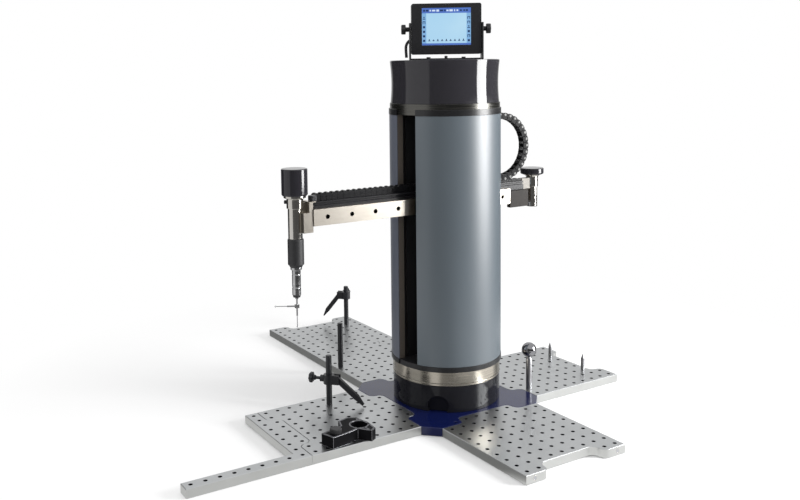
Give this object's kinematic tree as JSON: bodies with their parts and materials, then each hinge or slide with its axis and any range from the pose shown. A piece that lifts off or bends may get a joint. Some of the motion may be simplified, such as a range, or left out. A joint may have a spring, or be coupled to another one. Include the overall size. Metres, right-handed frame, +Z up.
{
  "type": "column coordinate measuring machine",
  "caption": "Portable measuring machine: a turning grey column with a sliding, lifting probe arm through it, a tilting display on top, and a cross of base plates with a grid of holes.",
  "frame": {"origin": "on the turning axis of the column, level with the underside of the base plates", "axes": "+Z up along the column; the arm runs along Y with the probe at -Y; -X is the side with two chained plates"},
  "size_m": [0.955, 0.955, 0.7909],
  "materials": {
    "steel_plate": "ground, fine grain",
    "blue_plate": "dark blue gloss",
    "black_gloss": "gloss black",
    "black_metal": "satin black anodised",
    "grey_skin": "satin slate grey",
    "black_skin": "matt black",
    "bright_steel": "turned, bright",
    "dark_steel": "ground",
    "chrome": "polished",
    "screen": "glossy",
    "black_plastic": "fine texture",
    "aluminium": "satin",
    "cast_weight": "painted"
  },
  "bodies": {
    "base": {"base_plate": "blue_plate", "grid_plate_right": "steel_plate", "grid_plate_front": "steel_plate", "grid_plate_extension": "steel_plate", "grid_plate_left": "steel_plate", "grid_plate_left_outer": "steel_plate", "grid_plate_rear": "steel_plate", "joining_pins": "dark_steel", "base_drum": "black_gloss", "spindle": "dark_steel", "main_bearings": "dark_steel", "bearing_seat_ring": "bright_steel", "reference_sphere": "chrome", "cone_pins": "chrome", "posts": "black_metal", "clamp_block": "black_metal"},
    "column": {"turntable_ring": "bright_steel", "turntable_hub": "aluminium", "angle_ring": "aluminium", "right_skin": "grey_skin", "left_skin": "grey_skin", "skin_trims": "black_skin", "slot_edge_strips": "aluminium", "inner_sheet": "black_metal", "spine": "aluminium", "guide_rails": "dark_steel", "top_flange": "bright_steel", "head_cover": "black_gloss", "lift_chain": "black_plastic", "balance_tape": "dark_steel"},
    "counterweight": {"counterweight": "cast_weight"},
    "pulley": {"balance_pulley": "aluminium"},
    "carriage": {"carriage_plate": "aluminium", "lift_runners": "dark_steel", "arm_runners": "dark_steel"},
    "arm": {"arm_beam": "black_metal", "arm_rail": "bright_steel", "arm_chain": "black_plastic", "end_bracket": "black_metal", "probe_tube": "bright_steel", "head_cap": "black_gloss", "rear_block": "black_metal", "rear_tube": "bright_steel", "rear_cap": "black_gloss"},
    "bracket_knob": {"bracket_knob": "black_plastic"},
    "probe": {"probe_grip": "black_plastic", "probe_body": "bright_steel"},
    "stylus": {"stylus": "chrome"},
    "yoke": {"display_yoke": "black_metal"},
    "display": {"display_case": "black_plastic", "display_screen": "screen"},
    "display_knob_left": {"display_knob_left": "black_plastic"},
    "display_knob_right": {"display_knob_right": "black_plastic"},
    "front_clamp": {"front_clamp": "black_metal"},
    "front_pointer": {"front_pointer": "black_metal"},
    "front_knob": {"front_thumb_knob": "black_plastic"},
    "left_clamp": {"left_clamp": "black_metal"},
    "left_pointer": {"left_pointer": "black_metal"},
    "left_knob": {"left_thumb_knob": "black_plastic"},
    "block_knob": {"block_knob": "black_plastic"}
  },
  "joints": [
    {"name": "column_turn", "type": "hinge", "parent": "base", "child": "column", "pos_m": [0, 0, 0.09], "axis": [0, 0, 1], "range_deg": [-180, 180]},
    {"name": "carriage_lift", "type": "slide", "parent": "column", "child": "carriage", "axis": [0, 0, 1], "range_m": [-0.186, 0.11], "deforming": ["lift_chain", "balance_tape"]},
    {"name": "counterweight_travel", "type": "slide", "parent": "column", "child": "counterweight", "axis": [0, 0, 1], "range_m": [-0.11, 0.186]},
    {"name": "pulley_turn", "type": "hinge", "parent": "column", "child": "pulley", "pos_m": [0.005, 0, 0.6328], "axis": [0, 1, 0], "range_deg": [-139, 235]},
    {"name": "arm_reach", "type": "slide", "parent": "carriage", "child": "arm", "axis": [0, -1, 0], "range_m": [-0.185, 0.01]},
    {"name": "probe_turn", "type": "hinge", "parent": "arm", "child": "probe", "pos_m": [0.005, -0.334, 0.34], "axis": [0, 0, 1], "range_deg": [-180, 180]},
    {"name": "stylus_tilt", "type": "hinge", "parent": "probe", "child": "stylus", "pos_m": [0.005, -0.334, 0.2607], "axis": [1, 0, 0], "range_deg": [-12, 12], "stiffness_Nm_per_rad": 0.02},
    {"name": "bracket_knob_turn", "type": "hinge", "parent": "arm", "child": "bracket_knob", "pos_m": [0.0185, -0.306, 0.436], "axis": [0, 0, 1], "range_deg": [-180, 180]},
    {"name": "display_swivel", "type": "hinge", "parent": "column", "child": "yoke", "pos_m": [0.00175, 0.0028, 0.685], "axis": [0, 0, 1], "range_deg": [-90, 90]},
    {"name": "display_tilt", "type": "hinge", "parent": "yoke", "child": "display", "pos_m": [0.00175, 0.0028, 0.7422], "axis": [0.5299, 0.848, 0], "range_deg": [-35, 35]},
    {"name": "display_knob_left_turn", "type": "hinge", "parent": "yoke", "child": "display_knob_left", "pos_m": [0.00175, 0.0028, 0.7422], "axis": [-0.5299, -0.848, 0], "range_deg": [-180, 180]},
    {"name": "display_knob_right_turn", "type": "hinge", "parent": "yoke", "child": "display_knob_right", "pos_m": [0.00175, 0.0028, 0.7422], "axis": [0.5299, 0.848, 0], "range_deg": [-180, 180]},
    {"name": "front_clamp_turn", "type": "hinge", "parent": "base", "child": "front_clamp", "pos_m": [-0.075, -0.2275, 0.067], "axis": [0, 0, 1], "range_deg": [-60, 60]},
    {"name": "front_pointer_tilt", "type": "hinge", "parent": "front_clamp", "child": "front_pointer", "pos_m": [-0.06237, -0.21613, 0.067], "axis": [0.6691, -0.7431, 0], "range_deg": [0, 100]},
    {"name": "front_knob_turn", "type": "hinge", "parent": "front_clamp", "child": "front_knob", "pos_m": [-0.075, -0.2275, 0.067], "axis": [-0.7431, -0.6691, 0], "range_deg": [-180, 180]},
    {"name": "left_clamp_turn", "type": "hinge", "parent": "base", "child": "left_clamp", "pos_m": [-0.5275, 0.075, 0.091], "axis": [0, 0, 1], "range_deg": [-45, 45]},
    {"name": "left_pointer_tilt", "type": "hinge", "parent": "left_clamp", "child": "left_pointer", "pos_m": [-0.53952, 0.06298, 0.091], "axis": [-0.7071, 0.7071, 0], "range_deg": [-8, 112]},
    {"name": "left_knob_turn", "type": "hinge", "parent": "left_clamp", "child": "left_knob", "pos_m": [-0.5275, 0.075, 0.091], "axis": [-0.848, 0.5299, 0], "range_deg": [-180, 180]},
    {"name": "block_knob_turn", "type": "hinge", "parent": "base", "child": "block_knob", "pos_m": [0.093, -0.308, 0.04], "axis": [0, 0, 1], "range_deg": [-180, 180]}
  ],
  "couplings": [
    {"joint": "counterweight_travel", "follows": "carriage_lift", "ratio": -1},
    {"joint": "pulley_turn", "follows": "carriage_lift", "rad_per_m": -21.954}
  ]
}
